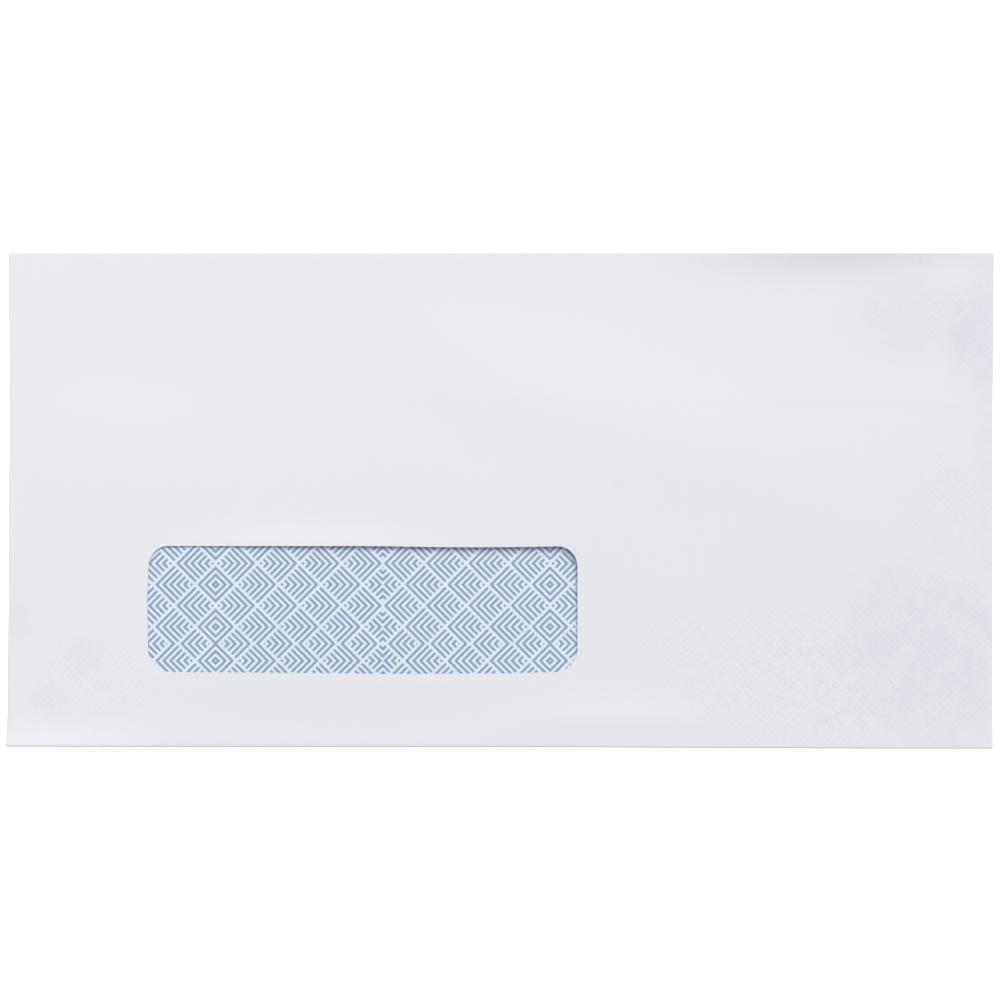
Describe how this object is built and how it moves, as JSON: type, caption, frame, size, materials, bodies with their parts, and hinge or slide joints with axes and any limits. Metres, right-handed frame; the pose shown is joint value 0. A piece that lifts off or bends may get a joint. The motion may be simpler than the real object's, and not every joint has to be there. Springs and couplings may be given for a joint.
{
  "type": "paper window envelope",
  "caption": "Long white paper envelope lying face up, with a rounded clear window low on the left that shows a blue security print, and its closing flap folded behind.",
  "frame": {"origin": "on the surface that the envelope lies on, below the middle of its front", "axes": "+X along the long edge to the right as the front is read, +Y up the front towards the closing flap's fold, +Z out of the front"},
  "size_m": [0.22, 0.11, 0.0014],
  "materials": {
    "paper": "matte",
    "clear_film": "gloss",
    "blue_ink": "matte"
  },
  "bodies": {
    "root": {"envelope_sheet": "paper", "window_film": "clear_film", "security_tint": "blue_ink"}
  },
  "joints": []
}
